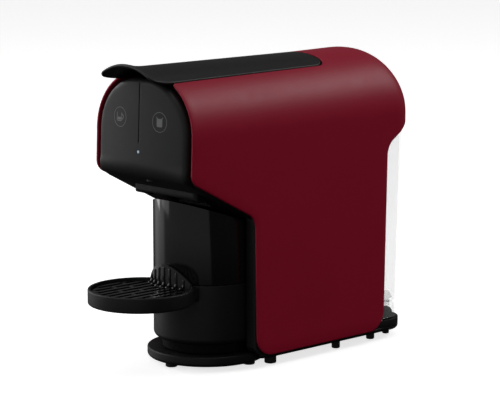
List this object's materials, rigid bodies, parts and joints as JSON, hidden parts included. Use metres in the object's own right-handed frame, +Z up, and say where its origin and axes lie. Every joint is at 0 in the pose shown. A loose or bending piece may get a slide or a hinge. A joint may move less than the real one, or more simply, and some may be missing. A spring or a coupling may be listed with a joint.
{
  "type": "pod coffee machine",
  "caption": "Slim pod coffee machine with an arched casing, top lever, two press zones, round capsule drawer with a cup tray, and a clear rear water tank.",
  "frame": {"origin": "middle of the bounding box at the underside of the rubber feet", "axes": "+Z up, -Y towards the front where the cup stands, +Y towards the water tank, X across the machine"},
  "size_m": [0.118, 0.3076, 0.2545],
  "materials": {
    "red_casing": "satin soft-touch moulded plastic, burgundy red",
    "black_moulding": "fine-grained black moulding",
    "smoked_bin": "polished smoked black plastic",
    "clear_plastic": "clear moulded plastic",
    "rubber": "matt rubber",
    "steel": "plain steel",
    "cast_aluminium": "cast, blasted",
    "copper_coil": "enamelled copper winding",
    "grey_moulding": "glass-filled grey plastic",
    "white_plastic": "white plastic",
    "circuit_board": "green solder mask"
  },
  "bodies": {
    "machine": {"outer_shell": "red_casing", "front_housing": "black_moulding", "chassis": "black_moulding", "base_plate": "black_moulding", "base_disc": "black_moulding", "pedestal": "black_moulding", "capsule_port": "black_moulding", "coffee_spout": "black_moulding", "tank_coupler": "black_moulding", "light_guide": "clear_plastic", "hose_tank": "clear_plastic", "hose_pump": "clear_plastic", "cord_gland": "rubber", "pump_mount_lower": "rubber", "pump_mount_upper": "rubber", "foot_disc_front": "rubber", "foot_disc_right": "rubber", "foot_disc_left": "rubber", "foot_front_right": "rubber", "foot_front_left": "rubber", "foot_middle_right": "rubber", "foot_middle_left": "rubber", "foot_rear_right": "rubber", "foot_rear_left": "rubber", "foot_corner_right": "rubber", "foot_corner_left": "rubber", "lever_axle": "steel", "needle_plate": "steel", "vibration_pump": "steel", "base_screw_1": "steel", "base_screw_2": "steel", "base_screw_3": "steel", "base_screw_4": "steel", "thermoblock": "cast_aluminium", "pump_coil": "copper_coil", "brew_frame": "grey_moulding", "brew_head": "grey_moulding", "flow_meter": "grey_moulding", "switch_left": "grey_moulding", "switch_right": "grey_moulding", "hose_pressure": "white_plastic", "hose_brew": "white_plastic", "control_board": "circuit_board", "power_board": "circuit_board"},
    "drawer": {"drip_container": "black_moulding", "capsule_bin": "smoked_bin"},
    "tray": {"cup_tray": "black_moulding"},
    "grid": {"tray_grid": "black_moulding"},
    "lever": {"lever": "black_moulding", "lever_bracket": "steel"},
    "piston": {"piston": "grey_moulding", "piston_pin": "steel"},
    "links": {"link_left": "steel", "link_right": "steel"},
    "left_button": {"button_left": "black_moulding"},
    "right_button": {"button_right": "black_moulding"},
    "tank": {"water_tank": "clear_plastic", "tank_lid": "black_moulding"},
    "valve": {"tank_valve": "white_plastic"}
  },
  "joints": [
    {"name": "lever_hinge", "type": "hinge", "parent": "machine", "child": "lever", "pos_m": [0, 0.0602, 0.2365], "axis": [-1, 0, 0], "range_deg": [0, 60]},
    {"name": "piston_slide", "type": "slide", "parent": "machine", "child": "piston", "axis": [0, 1, 0], "range_m": [0, 0.0248]},
    {"name": "link_hinge", "type": "hinge", "parent": "piston", "child": "links", "pos_m": [0, -0.0098, 0.2], "axis": [1, 0, 0], "range_deg": [0, 30.1]},
    {"name": "left_button_press", "type": "hinge", "parent": "machine", "child": "left_button", "pos_m": [-0.024, -0.11188, 0.1905], "axis": [-1, 0, 0], "range_deg": [0, 1.5], "stiffness_Nm_per_rad": 4},
    {"name": "right_button_press", "type": "hinge", "parent": "machine", "child": "right_button", "pos_m": [0.024, -0.11188, 0.1905], "axis": [-1, 0, 0], "range_deg": [0, 1.5], "stiffness_Nm_per_rad": 4},
    {"name": "drawer_slide", "type": "slide", "parent": "machine", "child": "drawer", "axis": [0, -1, 0], "range_m": [0, 0.105]},
    {"name": "tray_lift", "type": "slide", "parent": "drawer", "child": "tray", "axis": [0, 0, 1], "range_m": [0, 0.022]},
    {"name": "grid_lift", "type": "slide", "parent": "tray", "child": "grid", "axis": [0, 0, 1], "range_m": [0, 0.03]},
    {"name": "tank_tilt", "type": "hinge", "parent": "machine", "child": "tank", "pos_m": [0, 0.1512, 0.0174], "axis": [-1, 0, 0], "range_deg": [0, 28]},
    {"name": "valve_slide", "type": "slide", "parent": "tank", "child": "valve", "axis": [0, 0, -1], "range_m": [0, 0.0025]}
  ],
  "couplings": [
    {"joint": "piston_slide", "follows": "lever_hinge", "m_per_rad": 0.023587},
    {"joint": "link_hinge", "follows": "lever_hinge", "ratio": 0.5},
    {"joint": "valve_slide", "follows": "tank_tilt", "m_per_rad": 0.0051}
  ]
}
